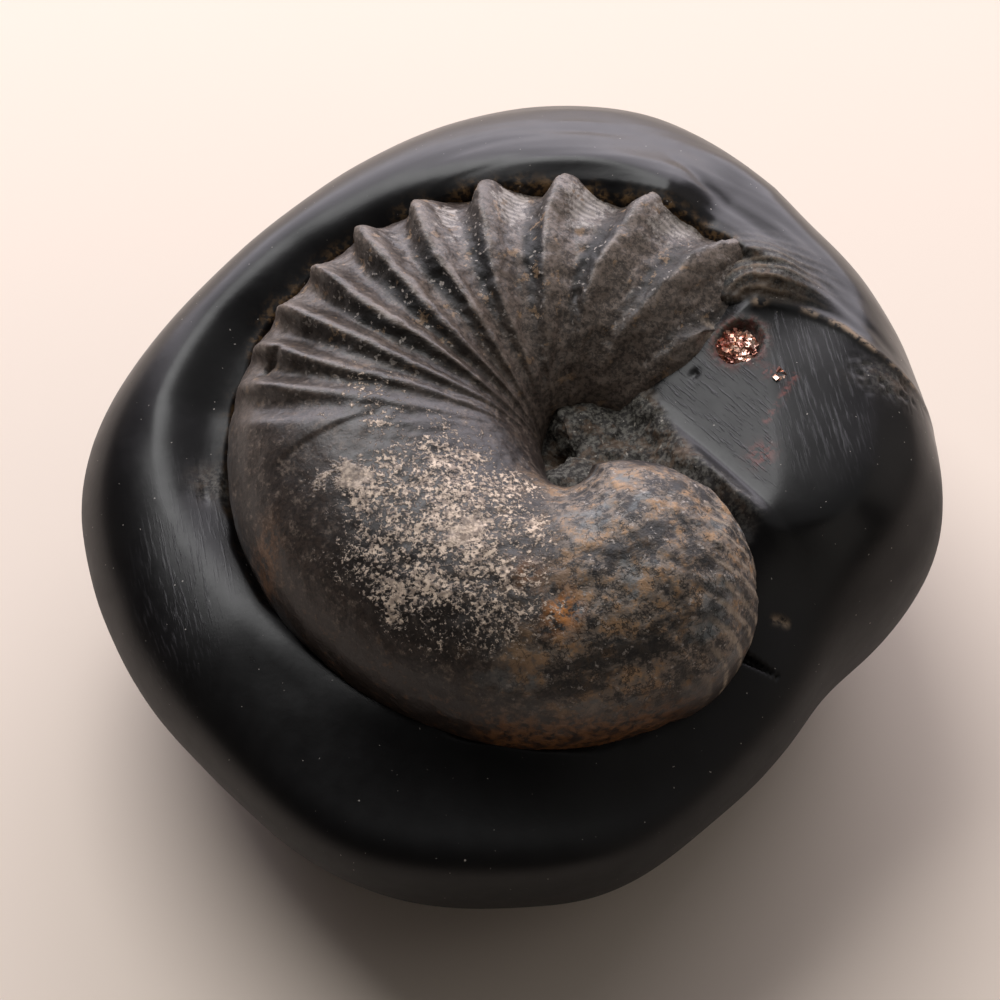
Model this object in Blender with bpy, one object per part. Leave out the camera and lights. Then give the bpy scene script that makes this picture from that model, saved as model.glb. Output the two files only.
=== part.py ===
"""Shaligram ammonite: a black river-worn nodule, opened on one side round an inflated, ribbed ammonite.

The stone is one solid. Its matrix is a loft about the fossil's coil axis, a low cushion that rises to
the fossil, with a high rim at the back and a block at the right that is filed flat on two sides.
The fossil is one whorl swept along its coil and joined to it.
All sizes are in millimetres in the coil's own frame and turn to metres when a mesh is made.
Bearings are counted anticlockwise from +X, seen from above.
"""
import math

import bpy
import numpy as np

METRES_PER_MM = 0.001

# Where the coil axis stands from the middle of the stone's box
COIL_AXIS = (8.8, -2.4)

# Matrix: how far its widest part stands from the coil axis, at every 15 degrees of bearing
REACH = (52.7, 52.7, 54, 55.5, 58.5, 62.5, 64.5, 64, 63, 62.5, 64.5, 68.8,
         70.4, 68.5, 66, 64.5, 64.5, 61.5, 58.5, 53.6, 49.3, 44, 45.4, 50.4)
WIDEST_HEIGHT = 31.0
# Matrix: its shoulder and the rim's crest, at every 30 degrees of bearing, in from the reach and up
# from the base; at the left and the front the crest is where the fossil comes out of the matrix
SHOULDER_INSET = (2.9, 3.8, 4.8, 5.4, 4.5, 4.8, 8, 6.5, 6, 5.2, 3.4, 2.9)
SHOULDER_HEIGHT = (46, 49.7, 50.4, 50.4, 49, 46, 42.6, 41.2, 38.5, 38, 39.8, 43.5)
CREST_INSET = (9, 12, 15, 17, 14, 14, 18, 16.5, 15, 13, 10, 9)
CREST_HEIGHT = (52, 57, 58, 58, 56, 50.5, 45.2, 43.8, 41.6, 41.5, 43.5, 48.5)
# Matrix: the ground inside the crest and nearer the coil, at every 30 degrees; at the right both are
# the top of the block
BOWL_WIDTH = 10.0
BOWL_HEIGHT = (56, 58, 57, 57, 53, 50, 46, 44, 43, 43, 46, 53)
GROUND_SHARE = 0.42
GROUND_HEIGHT = (54, 53, 48, 45, 44, 42, 42, 42, 40, 40, 42, 51)
# Matrix: the rough filling of the umbilicus, round the coil axis
FUNNEL_RADIUS = 8.0
FUNNEL_HEIGHT = 44.0
FUNNEL_DEPTH = 1.5
POLE_RADIUS = 0.5
# Matrix: the worn underside, as shares of the reach; what dips below the ground is worn flat
BASE_SHARE = 0.40
BASE_DIP = 1.0
FLANK_SHARE = 0.83
FLANK_HEIGHT = 8.5
# Block: its filed flats, each a place on it with a height, and how fast it rises towards +X and +Y
LEFT_FLAT = (9.9, 7.8, 50.2)
LEFT_FLAT_RISE = (0.30, 0.09)
RIGHT_FLAT = (27.0, 0.0, 55.2)
RIGHT_FLAT_RISE = (-0.02, 0.0)
FLAT_EDGE = 0.3
# Block: the line that its left flat starts from, which way it lies, and how the flats fade in from
# that line and out towards the front, in millimetres and in degrees of bearing
BLOCK_WAY = (0.77, 0.635)
BLOCK_FADE = 3.0
BLOCK_BEARING = 70.0
BLOCK_BEARING_FADE = 12.0

# Fossil: the whorl's oval section at chosen bearings, from its buried end to the body chamber's end
WHORL_BEARING = (10, 50, 90, 135, 180, 225, 270, 287)
WHORL_RADIUS = (26, 26.5, 25.5, 26, 26.5, 26, 26, 24.5)
WHORL_HALF_WIDTH = (17, 18, 18.2, 20.5, 22, 20.5, 18.2, 18.4)
WHORL_HEIGHT = (31, 41.5, 45, 45, 45, 45, 46, 48)
WHORL_HALF_HEIGHT = (14, 16, 16, 17, 18, 18, 18, 17.5)
WHORL_TILT = (12, 14, 14, 10, 4, 0, 0, 0)
CHAMBER_END_LENGTH = 17.0

# Ribs: the bearing of the tubercle that ends each rib, and how far a rib's inner end leans back
TUBERCLE_BEARING = (8, 29, 50, 72, 92.6, 110, 124.5, 137, 148.6, 159, 168, 176, 184)
RIB_LEAN = 26.0
RIB_LEAN_FROM = -0.3
# Ribs: their height, and the share of it that lies above the plain whorl's surface
RIB_HEIGHT = 1.9
RIB_LEVEL = 0.55
TUBERCLE_HEIGHT = 3.1
TUBERCLE_LEVEL = 0.25
# Ribs: how wide their steep forward side and their gentle back side are, as shares of the rib spacing
FORWARD_SIDE = 0.19
BACK_SIDE = 0.30
# Ribs: where they grow to full height and where they fade out again, in degrees of bearing
RIBS_LOW_TO = 50.0
RIBS_WHOLE_FROM = 90.0
LOW_RIB_SHARE = 0.75
RIBS_WHOLE_TO = 150.0
RIBS_GONE_BY = 200.0
# Ribs: degrees round the section, from its outer side up over its top
TUBERCLE_PLACE = 42.0
TUBERCLE_SPREAD = 18.0
RIB_PLACE = 75.0
RIB_SPREAD = 52.0

# Mesh: how finely each surface is cut
MATRIX_COLUMNS = 80
MATRIX_TOP_ROWS = 34
WHORL_COLUMNS = 40
RIB_STEP = 2.4
CHAMBER_ROWS = 16
END_ROWS = 8


def closed_curve(values, bearings):
    """A smooth closed curve through equally spaced values: their own short Fourier series."""
    count = len(values)
    terms = np.fft.rfft(values) / count
    order = np.arange(len(terms))
    share = np.where((order == 0) | (2 * order == count), 1.0, 2.0)
    return ((share * terms) * np.exp(1j * np.outer(bearings, order))).real.sum(axis=1)


def spline_weights(places, at):
    """Weights that carry values at the places onto the natural cubic spline through them."""
    places = np.asarray(places, float)
    count = len(places)
    gap = np.diff(places)
    system = np.eye(count)
    right = np.zeros((count, count))
    for i in range(1, count - 1):
        system[i, i - 1:i + 2] = gap[i - 1], 2 * (gap[i - 1] + gap[i]), gap[i]
        right[i, i - 1:i + 2] = 6 / gap[i - 1], -6 / gap[i - 1] - 6 / gap[i], 6 / gap[i]
    bend = np.linalg.solve(system, right)
    span = np.clip(np.searchsorted(places, at, side="right") - 1, 0, count - 2)
    width = gap[span][:, None]
    after = (at - places[span])[:, None] / width
    before = 1 - after
    unit = np.eye(count)
    straight = before * unit[span] + after * unit[span + 1]
    curved = (before**3 - before) * bend[span] + (after**3 - after) * bend[span + 1]
    return straight + curved * width**2 / 6


def grid_mesh(name, points):
    """A closed mesh from rings of points: each end ring is closed to its middle."""
    rows, around = points.shape[:2]
    first = points[0].mean(axis=0)
    last = points[-1].mean(axis=0)
    corners = np.vstack([points.reshape(-1, 3), first, last]) * METRES_PER_MM
    here = np.arange(rows * around).reshape(rows, around)
    beside = np.roll(here, -1, axis=1)
    walls = np.stack([here[:-1], beside[:-1], beside[1:], here[1:]], axis=-1).reshape(-1, 4)
    start = np.stack([beside[0], here[0], np.full(around, rows * around)], axis=-1)
    end = np.stack([here[-1], beside[-1], np.full(around, rows * around + 1)], axis=-1)
    mesh = bpy.data.meshes.new(name)
    mesh.from_pydata(corners.tolist(), [], walls.tolist() + start.tolist() + end.tolist())
    mesh.update()
    return mesh


def smooth_step(value):
    """Rises from 0 to 1 with level ends as the value goes from 0 to 1."""
    value = np.clip(value, 0, 1)
    return value * value * (3 - 2 * value)


def lower_of(first, second):
    """The lower of two heights, with the corner between them a little rounded."""
    return first - FLAT_EDGE * np.logaddexp(0, (first - second) / FLAT_EDGE)


def flat_height(flat, rise, across, along):
    """The height of a filed flat at places in plan."""
    return flat[2] + rise[0] * (across - flat[0]) + rise[1] * (along - flat[1])


def filed_height(across, along, height):
    """The matrix's height once the block is filed: it stays under both flats.

    The widest part and the base lie below both flats, so they stay as they are.
    """
    left = flat_height(LEFT_FLAT, LEFT_FLAT_RISE, across, along)
    right = flat_height(RIGHT_FLAT, RIGHT_FLAT_RISE, across, along)
    filed = lower_of(lower_of(height, left), right)
    past_line = (across - LEFT_FLAT[0]) * BLOCK_WAY[0] + (along - LEFT_FLAT[1]) * BLOCK_WAY[1]
    turn = np.abs(np.degrees(np.arctan2(along, across)))
    share = smooth_step(past_line / BLOCK_FADE + 1) * smooth_step((BLOCK_BEARING - turn) / BLOCK_BEARING_FADE)
    return height + share * (filed - height)


def matrix_points():
    """The nodule without the fossil: a vertical profile at each bearing, carried round the coil axis.

    Each ring below runs round the stone. The profile is a spline through the rings in turn, from the
    middle of the base, out and up over the rim, and in to the umbilicus. The block is then filed.
    """
    bearings = np.linspace(0, 2 * math.pi, MATRIX_COLUMNS, endpoint=False)
    reach = closed_curve(REACH, bearings)
    crest = reach - closed_curve(CREST_INSET, bearings)
    same = np.ones(MATRIX_COLUMNS)
    rings = [
        (POLE_RADIUS * same, -BASE_DIP * same),
        (BASE_SHARE * reach, -BASE_DIP * same),
        (FLANK_SHARE * reach, FLANK_HEIGHT * same),
        (reach, WIDEST_HEIGHT * same),
        (reach - closed_curve(SHOULDER_INSET, bearings), closed_curve(SHOULDER_HEIGHT, bearings)),
        (crest, closed_curve(CREST_HEIGHT, bearings)),
        (crest - BOWL_WIDTH, closed_curve(BOWL_HEIGHT, bearings)),
        (GROUND_SHARE * crest, closed_curve(GROUND_HEIGHT, bearings)),
        (FUNNEL_RADIUS * same, (FUNNEL_HEIGHT + FUNNEL_DEPTH) * same),
        (POLE_RADIUS * same, FUNNEL_HEIGHT * same),
    ]
    base_rows = np.arange(0, 2, 0.5)
    top_rows = np.linspace(2, len(rings) - 1, MATRIX_TOP_ROWS)
    weights = spline_weights(range(len(rings)), np.concatenate([base_rows, top_rows]))
    radius = weights @ np.array([ring[0] for ring in rings])
    height = weights @ np.array([ring[1] for ring in rings])
    across, along = radius * np.cos(bearings), radius * np.sin(bearings)
    height = filed_height(across, along, np.maximum(height, 0))
    return np.stack([across, along, height], axis=-1)


def rib_number(bearing):
    """Which rib stands at a bearing: whole on each rib's crest, and halfway between two."""
    return np.interp(np.degrees(bearing), TUBERCLE_BEARING, np.arange(len(TUBERCLE_BEARING)))


def hump(distance, width):
    """A bell that is 1 where the distance is 0 and has fallen to 0.37 at one width."""
    return np.exp(-(distance / width)**2)


def rib_lift(bearing, turn):
    """How far the ribs and tubercles stand out of the whorl: blunt crests, steeper on one side."""
    shoulder = math.radians(TUBERCLE_PLACE)
    inward = np.clip((turn - shoulder) / (math.pi - shoulder), RIB_LEAN_FROM, 1)
    number = rib_number(bearing - math.radians(RIB_LEAN) * inward)
    past = number - np.floor(number)
    crest = hump(past, FORWARD_SIDE) + hump(1 - past, BACK_SIDE)
    degrees = np.degrees(bearing)
    fading = smooth_step((RIBS_GONE_BY - degrees) / (RIBS_GONE_BY - RIBS_WHOLE_TO))
    growing = smooth_step((degrees - RIBS_LOW_TO) / (RIBS_WHOLE_FROM - RIBS_LOW_TO))
    strength = fading * (LOW_RIB_SHARE + (1 - LOW_RIB_SHARE) * growing)
    rib = RIB_HEIGHT * hump(np.degrees(turn) - RIB_PLACE, RIB_SPREAD)
    tubercle = TUBERCLE_HEIGHT * hump(np.degrees(turn) - TUBERCLE_PLACE, TUBERCLE_SPREAD)
    return strength * (rib * (crest - RIB_LEVEL) + tubercle * (crest - TUBERCLE_LEVEL))


def whorl_points():
    """The fossil's whorl: a tilted oval section at each bearing, ribbed, with a round end."""
    ribbed = np.arange(WHORL_BEARING[0], RIBS_GONE_BY, RIB_STEP)
    smooth = np.linspace(RIBS_GONE_BY, WHORL_BEARING[-1], CHAMBER_ROWS)
    steps = np.concatenate([ribbed, smooth])
    weights = spline_weights(WHORL_BEARING, steps)
    radius, half_width, height, half_height, tilt = (
        (weights @ np.array(values, float))[:, None]
        for values in (WHORL_RADIUS, WHORL_HALF_WIDTH, WHORL_HEIGHT, WHORL_HALF_HEIGHT, WHORL_TILT))
    bearing = np.radians(steps)[:, None]
    tilt = np.radians(tilt)
    turn = np.linspace(0, 2 * math.pi, WHORL_COLUMNS, endpoint=False)[None, :]
    lift = rib_lift(bearing, turn)
    out = (half_width + lift) * np.cos(turn)
    up = (half_height + lift) * np.sin(turn)
    across = radius + out * np.cos(tilt) - up * np.sin(tilt)
    rise = height + out * np.sin(tilt) + up * np.cos(tilt)
    body = np.stack([across * np.cos(bearing), across * np.sin(bearing), rise], axis=-1)

    last = bearing[-1, 0]
    middle = body[-1].mean(axis=0)
    ahead = np.array([-math.sin(last), math.cos(last), 0.0])
    swing = np.linspace(0, math.pi / 2, END_ROWS + 2)[1:-1, None, None]
    end = middle + (body[-1] - middle) * np.cos(swing) + ahead * CHAMBER_END_LENGTH * np.sin(swing)
    return np.concatenate([body, end])


def add_object(name, points):
    """Puts a surface into the scene as an object of its own, set about the middle of the stone's base."""
    mesh = grid_mesh(name, points + np.array([*COIL_AXIS, 0.0]))
    mesh.shade_smooth()
    thing = bpy.data.objects.new(name, mesh)
    bpy.context.collection.objects.link(thing)
    return thing


def stone_material():
    """Black limestone, worn smooth by a river."""
    material = bpy.data.materials.new("black_limestone")
    material.use_nodes = True
    shader = material.node_tree.nodes["Principled BSDF"]
    shader.inputs["Base Color"].default_value = (0.014, 0.013, 0.012, 1)
    shader.inputs["Roughness"].default_value = 0.45
    shader.inputs["Metallic"].default_value = 0.0
    return material


def build():
    """Makes the stone: the matrix with the fossil joined to it."""
    for thing in list(bpy.data.objects):
        bpy.data.objects.remove(thing)
    stone = add_object("shaligram", matrix_points())
    stone.data.materials.append(stone_material())
    fossil = add_object("ammonite_form", whorl_points())
    fossil.hide_render = True
    fossil.display_type = 'WIRE'
    join = stone.modifiers.new("ammonite", 'BOOLEAN')
    join.operation = 'UNION'
    join.solver = 'EXACT'
    join.object = fossil


build()
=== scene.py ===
"""Shaligram ammonite: the looks of a black river-worn nodule that is open round a ribbed fossil.

The stone is shown by three pieces that stand in the place of its one solid: the black matrix, the
fossil's whorl that grew into it, and the pyrite grains in a socket of the filed block. Every surface is
a function of two parameters, worked out as whole arrays. Sizes are in millimetres about the coil axis,
with bearings in degrees, counted anticlockwise from +X as seen from above, until a mesh is made.
"""

import logging
import math
from dataclasses import dataclass, field
from enum import Enum

import bpy
import numpy as np
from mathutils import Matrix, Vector


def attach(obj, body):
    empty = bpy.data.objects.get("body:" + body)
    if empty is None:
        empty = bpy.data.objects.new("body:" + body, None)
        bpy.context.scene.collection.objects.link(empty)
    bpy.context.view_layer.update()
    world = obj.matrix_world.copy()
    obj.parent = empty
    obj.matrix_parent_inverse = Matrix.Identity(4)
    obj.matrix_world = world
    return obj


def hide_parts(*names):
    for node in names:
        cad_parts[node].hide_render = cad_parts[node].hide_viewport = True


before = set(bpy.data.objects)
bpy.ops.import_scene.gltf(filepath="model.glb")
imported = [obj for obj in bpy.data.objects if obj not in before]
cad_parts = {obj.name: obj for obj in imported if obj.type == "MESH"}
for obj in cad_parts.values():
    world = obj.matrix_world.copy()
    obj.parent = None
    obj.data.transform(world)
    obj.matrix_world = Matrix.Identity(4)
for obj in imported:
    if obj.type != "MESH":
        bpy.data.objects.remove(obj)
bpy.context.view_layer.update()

log = logging.getLogger("shaligram")

METRES_PER_MM = 0.001
NODE = "shaligram"
COIL_AXIS = (8.8, -2.4)


# Arithmetic on whole arrays

def smooth_step(value: np.ndarray) -> np.ndarray:
    """Rises from 0 to 1 with level ends as the value goes from 0 to 1."""
    value = np.clip(value, 0.0, 1.0)
    return value * value * (3 - 2 * value)


def rise(value: np.ndarray, start: float, over: float) -> np.ndarray:
    """Rises smoothly from 0 at the start to 1 where the value is past it by the given stretch."""
    return smooth_step((value - start) / over)


def fall(value: np.ndarray, end: float, over: float) -> np.ndarray:
    """Falls smoothly from 1 to 0 at the end, over the given stretch before it."""
    return smooth_step((end - value) / over)


def faded(passed: np.ndarray, share: float) -> np.ndarray:
    """1 along the middle of a line, and 0 at its ends, which fade over this share of its length."""
    return rise(passed, 0, share) * fall(passed, 1, share)


def hump(distance: np.ndarray, width: float) -> np.ndarray:
    """A bell that is 1 where the distance is 0 and has fallen to 0.37 at one width."""
    return np.exp(-(distance / width) ** 2)


def lower_of(first: np.ndarray, second: np.ndarray, softness: float) -> np.ndarray:
    """The lower of two heights, with the corner between them rounded over about the softness."""
    gap = np.clip((first - second) / softness, -30, 30)
    return first - softness * np.log1p(np.exp(gap))


def closed_curve(values: tuple, bearings: np.ndarray) -> np.ndarray:
    """A smooth closed curve through equally spaced values: their own short Fourier series.

    Args:
        values: one number for each equal step of bearing, from bearing 0.
        bearings: where the curve is wanted, in radians.

    Returns:
        The curve's value at each bearing.
    """
    count = len(values)
    terms = np.fft.rfft(values) / count
    order = np.arange(len(terms))
    share = np.where((order == 0) | (2 * order == count), 1.0, 2.0)
    return ((share * terms) * np.exp(1j * np.outer(bearings, order))).real.sum(axis=1)


def spline_weights(places: tuple, at: np.ndarray) -> np.ndarray:
    """Weights that carry values at the places onto the natural cubic spline through them.

    Args:
        places: where the values stand, rising.
        at: where the spline is wanted.

    Returns:
        One row of weights for each wanted place.
    """
    places = np.asarray(places, float)
    count = len(places)
    gap = np.diff(places)
    system = np.eye(count)
    right = np.zeros((count, count))
    for i in range(1, count - 1):
        system[i, i - 1:i + 2] = gap[i - 1], 2 * (gap[i - 1] + gap[i]), gap[i]
        right[i, i - 1:i + 2] = 6 / gap[i - 1], -6 / gap[i - 1] - 6 / gap[i], 6 / gap[i]
    bend = np.linalg.solve(system, right)
    span = np.clip(np.searchsorted(places, at, side="right") - 1, 0, count - 2)
    width = gap[span][:, None]
    after = (at - places[span])[:, None] / width
    before = 1 - after
    unit = np.eye(count)
    straight = before * unit[span] + after * unit[span + 1]
    curved = (before**3 - before) * bend[span] + (after**3 - after) * bend[span + 1]
    return straight + curved * width**2 / 6


def lattice_noise(points: np.ndarray, size: float, seed: int) -> np.ndarray:
    """Smooth random values from -1 to 1: random numbers on a lattice, blended with level ends.

    Args:
        points: places in millimetres, with x, y and z on the last axis.
        size: the lattice's spacing in millimetres, which is the size of a lump.
        seed: picks one lattice of random numbers.

    Returns:
        One value for each point.
    """
    place = points / size
    cell = np.floor(place).astype(np.int64)
    part = place - cell
    part = part**3 * (part * (part * 6 - 15) + 10)
    total = np.zeros(points.shape[:-1])
    for corner in np.ndindex(2, 2, 2):
        key = cell + corner
        mixed = key[..., 0] * 73856093 ^ key[..., 1] * 19349663 ^ key[..., 2] * 83492791 ^ seed * 2654435761
        mixed = (mixed ^ (mixed >> 13)) * 1274126177 & 0xffffffff
        mixed = (mixed ^ (mixed >> 16)) & 0xffff
        share = np.where(corner, part, 1 - part).prod(axis=-1)
        total += share * (mixed / 32767.5 - 1)
    return total


def layered_noise(points: np.ndarray, size: float, layers: int, seed: int) -> np.ndarray:
    """Sums lattice noise at halving sizes and halving strengths, scaled back to about -1 to 1."""
    total = sum(lattice_noise(points, size / 2**i, seed + i) / 2**i for i in range(layers))
    return total / (2 - 0.5 ** (layers - 1))


class Places:
    """The points of a surface as whole arrays: x, y and z, and radius and bearing about the coil axis."""

    def __init__(self, points: np.ndarray) -> None:
        """Reads the arrays from the points.

        Args:
            points: places in millimetres about the coil axis, with x, y and z on the last axis.
        """
        self.points = points
        self.x, self.y, self.z = np.moveaxis(points, -1, 0)
        self.radius = np.hypot(self.x, self.y)
        self.bearing = np.degrees(np.arctan2(self.y, self.x)) % 360

    def away(self, x: float, y: float) -> np.ndarray:
        """How far the places are, in plan, from one place."""
        return np.hypot(self.x - x, self.y - y)

    def beside(self, path: tuple) -> tuple[np.ndarray, np.ndarray]:
        """How far the places are, in plan, from a path of straight runs.

        Args:
            path: the path's corners in plan.

        Returns:
            The distance, negative on the path's right side, and the share of the path passed.
        """
        corners = np.array(path, float)
        start, run = corners[:-1], np.diff(corners, axis=0)
        away_x, away_y = self.x[..., None] - start[:, 0], self.y[..., None] - start[:, 1]
        along = np.clip((away_x * run[:, 0] + away_y * run[:, 1]) / (run**2).sum(axis=1), 0, 1)
        distance = np.hypot(away_x - along * run[:, 0], away_y - along * run[:, 1])
        side = np.where(run[:, 0] * away_y - run[:, 1] * away_x < 0, -1.0, 1.0)
        nearest = distance.argmin(axis=-1)[..., None]
        signed = np.take_along_axis(distance * side, nearest, -1)[..., 0]
        passed = (np.take_along_axis(along, nearest, -1)[..., 0] + nearest[..., 0]) / len(run)
        return signed, passed

    def line(self, path: tuple, width: float, fade: float) -> np.ndarray:
        """A soft line along a path: 1 on it, fallen to 0.37 at the width, with fading ends."""
        distance, passed = self.beside(path)
        return hump(distance, width) * faded(passed, fade)


@dataclass(frozen=True)
class Spot:
    """A soft oval patch in plan: its middle, and its half-widths along x and y."""

    x: float
    y: float
    half_x: float
    half_y: float

    def on(self, at: Places) -> np.ndarray:
        """1 at the patch's middle, fallen to 0.37 at its half-widths."""
        return hump(np.hypot((at.x - self.x) / self.half_x, (at.y - self.y) / self.half_y), 1.0)


# Meshes

def grid_mesh(name: str, points: np.ndarray, marks: dict[str, np.ndarray]) -> bpy.types.Object:
    """A closed mesh from rings of points, with its end rings closed to their middles.

    Args:
        name: the piece's name.
        points: rows of points in millimetres about the coil axis, each row a closed ring.
        marks: numbers for each point that the materials read by name.

    Returns:
        The object, at the origin, with its place in its mesh.
    """
    rows, around = points.shape[:2]
    ends = np.stack([points[0].mean(axis=0), points[-1].mean(axis=0)])
    corners = np.vstack([points.reshape(-1, 3), ends])
    here = np.arange(rows * around).reshape(rows, around)
    beside = np.roll(here, -1, axis=1)
    walls = np.stack([here[:-1], beside[:-1], beside[1:], here[1:]], axis=-1).reshape(-1, 4)
    first = np.stack([beside[0], here[0], np.full(around, rows * around)], axis=-1)
    last = np.stack([here[-1], beside[-1], np.full(around, rows * around + 1)], axis=-1)
    piece = mesh_piece(name, corners, walls.tolist() + first.tolist() + last.tolist())
    for mark, values in marks.items():
        layer = piece.data.attributes.new(mark, 'FLOAT', 'POINT')
        edge = [values[0].mean(), values[-1].mean()]
        layer.data.foreach_set("value", np.append(values.ravel(), edge).astype(np.float32))
    piece.data.shade_smooth()
    return piece


def mesh_piece(name: str, corners: np.ndarray, faces: list) -> bpy.types.Object:
    """Puts corners and faces into a mesh, and the mesh into the scene.

    Args:
        name: the piece's name.
        corners: places in millimetres about the coil axis.
        faces: the corners of each face, by number.

    Returns:
        The object, at the origin, with its place in its mesh.
    """
    placed = (corners + np.array([*COIL_AXIS, 0.0])) * METRES_PER_MM
    mesh = bpy.data.meshes.new(name)
    mesh.from_pydata(placed.tolist(), [], faces)
    piece = bpy.data.objects.new(name, mesh)
    bpy.context.collection.objects.link(piece)
    return piece


def surface_normals(points: np.ndarray) -> np.ndarray:
    """Unit normals of a grid whose rows are closed rings: the cross product of its two runs of neighbours.

    Args:
        points: rows of points, each row a closed ring.

    Returns:
        The outward normal at each point.
    """
    along = np.gradient(points, axis=0)
    around = np.roll(points, -1, axis=1) - np.roll(points, 1, axis=1)
    normal = np.cross(around, along)
    return normal / np.maximum(np.linalg.norm(normal, axis=-1, keepdims=True), 1e-9)


def settle(piece: bpy.types.Object, material: bpy.types.Material) -> bpy.types.Object:
    """Finishes a piece: it takes its material and rides on the one body.

    Args:
        piece: the piece, with its mesh made.
        material: its finish.

    Returns:
        The same piece.
    """
    piece.data.materials.append(material)
    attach(piece, "root")
    return piece


# Materials

Socket = bpy.types.NodeSocket


def linear(code: str) -> tuple[float, float, float, float]:
    """Turns an sRGB hex colour into the linear numbers that a shader takes.

    Args:
        code: the colour, as # and six hex digits.

    Returns:
        Red, green, blue and an alpha of 1.
    """
    values = [int(code[i:i + 2], 16) / 255 for i in (1, 3, 5)]
    red, green, blue = (v / 12.92 if v <= 0.04045 else ((v + 0.055) / 1.055) ** 2.4 for v in values)
    return red, green, blue, 1.0


@dataclass
class Recipe:
    """A material in the making: its node tree, and one way to add nodes to it."""

    name: str
    material: bpy.types.Material = field(init=False)

    def __post_init__(self) -> None:
        """Starts the material with its shader and the place that patterns are read at."""
        self.material = bpy.data.materials.new(self.name)
        self.material.use_nodes = True
        self.shader = self.material.node_tree.nodes["Principled BSDF"]
        self.place = self.add("ShaderNodeTexCoord").outputs["Object"]

    def add(self, kind: str, settings: dict | None = None, links: dict | None = None) -> bpy.types.Node:
        """Adds a node.

        Args:
            kind: Blender's name for the node.
            settings: the node's own properties.
            links: by input name or number, a value or the socket that feeds it.

        Returns:
            The node.
        """
        node = self.material.node_tree.nodes.new(kind)
        for key, value in (settings or {}).items():
            setattr(node, key, value)
        for key, value in (links or {}).items():
            if isinstance(value, Socket):
                self.material.node_tree.links.new(value, node.inputs[key])
            else:
                node.inputs[key].default_value = value
        return node

    def maths(self, operation: str, *values: float | Socket) -> Socket:
        """Arithmetic on numbers or sockets, taken two at a time from the left.

        Args:
            operation: Blender's name for the step.
            values: one number or socket, or more.

        Returns:
            The result.
        """
        total = values[0]
        for value in values[1:] or (0.0,):
            total = self.add("ShaderNodeMath", {"operation": operation}, {0: total, 1: value}).outputs[0]
        return total

    def times(self, *factors: float | Socket) -> Socket:
        """The product of numbers or sockets."""
        return self.maths("MULTIPLY", *factors)

    def plus(self, *terms: float | Socket) -> Socket:
        """The sum of numbers or sockets."""
        return self.maths("ADD", *terms)

    def ramp(self, value: Socket, low: float, high: float) -> Socket:
        """Goes smoothly from 0 to 1 as the value goes from low to high, which may lie below low."""
        node = self.add("ShaderNodeMapRange", {"interpolation_type": 'SMOOTHSTEP'},
                        {"Value": value, "From Min": low, "From Max": high})
        return node.outputs["Result"]

    def mark(self, name: str) -> Socket:
        """The number that the mesh holds under this name."""
        return self.add("ShaderNodeAttribute", {"attribute_name": name}).outputs["Fac"]

    def noise(self, size: float, detail: float, rough: float, place: Socket | None = None) -> Socket:
        """Soft noise from 0 to 1.

        Args:
            size: how far across its lumps are, in millimetres.
            detail: how many finer layers it has.
            rough: how strong the finer layers are.
            place: where it is read, if not at the point itself.

        Returns:
            The noise.
        """
        lumps_per_scale = 0.6
        links = {"Vector": place or self.place, "Scale": lumps_per_scale / (size * METRES_PER_MM),
                 "Detail": detail, "Roughness": rough}
        return self.add("ShaderNodeTexNoise", {}, links).outputs["Fac"]

    def stretched(self, turn: float, stretch: float) -> Socket:
        """The place, with patterns drawn out along one direction in plan.

        Args:
            turn: the direction, in degrees from +X.
            stretch: how many times longer than wide a pattern becomes.

        Returns:
            The place to read a pattern at.
        """
        links = {"Vector": self.place, "Rotation": (0.0, 0.0, -math.radians(turn))}
        turned = self.add("ShaderNodeMapping", {"vector_type": 'POINT'}, links).outputs["Vector"]
        drawn = {"Vector": turned, "Scale": (1 / stretch, 1.0, 1.0)}
        return self.add("ShaderNodeMapping", {"vector_type": 'POINT'}, drawn).outputs["Vector"]

    def blend(self, share: Socket, first: object, second: object) -> Socket:
        """The first colour, giving way to the second as the share goes from 0 to 1."""
        links = {0: share, 6: first, 7: second}
        return self.add("ShaderNodeMix", {"data_type": 'RGBA'}, links).outputs[2]

    def coats(self, colour: Socket, *coats: tuple[Socket, str]) -> Socket:
        """Lays thin coats over a colour.

        Args:
            colour: the colour below.
            coats: for each coat, how much it covers, from 0 to 1, and its hex colour.

        Returns:
            The colour with its coats.
        """
        for share, code in coats:
            colour = self.blend(share, colour, linear(code))
        return colour

    def finish(self, colour: Socket, rough: Socket, relief: Socket, depth: float) -> bpy.types.Material:
        """Joins colour, roughness and relief to the shader.

        Args:
            colour: the base colour.
            rough: the roughness.
            relief: the fine relief, as a height from 0 to 1.
            depth: how deep a relief of 1 is, in millimetres.

        Returns:
            The finished material.
        """
        bump = self.add("ShaderNodeBump", {}, {"Height": relief, "Distance": depth * METRES_PER_MM,
                                               "Strength": 1.0})
        links = self.material.node_tree.links
        links.new(colour, self.shader.inputs["Base Color"])
        links.new(rough, self.shader.inputs["Roughness"])
        links.new(bump.outputs["Normal"], self.shader.inputs["Normal"])
        return self.material


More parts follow.
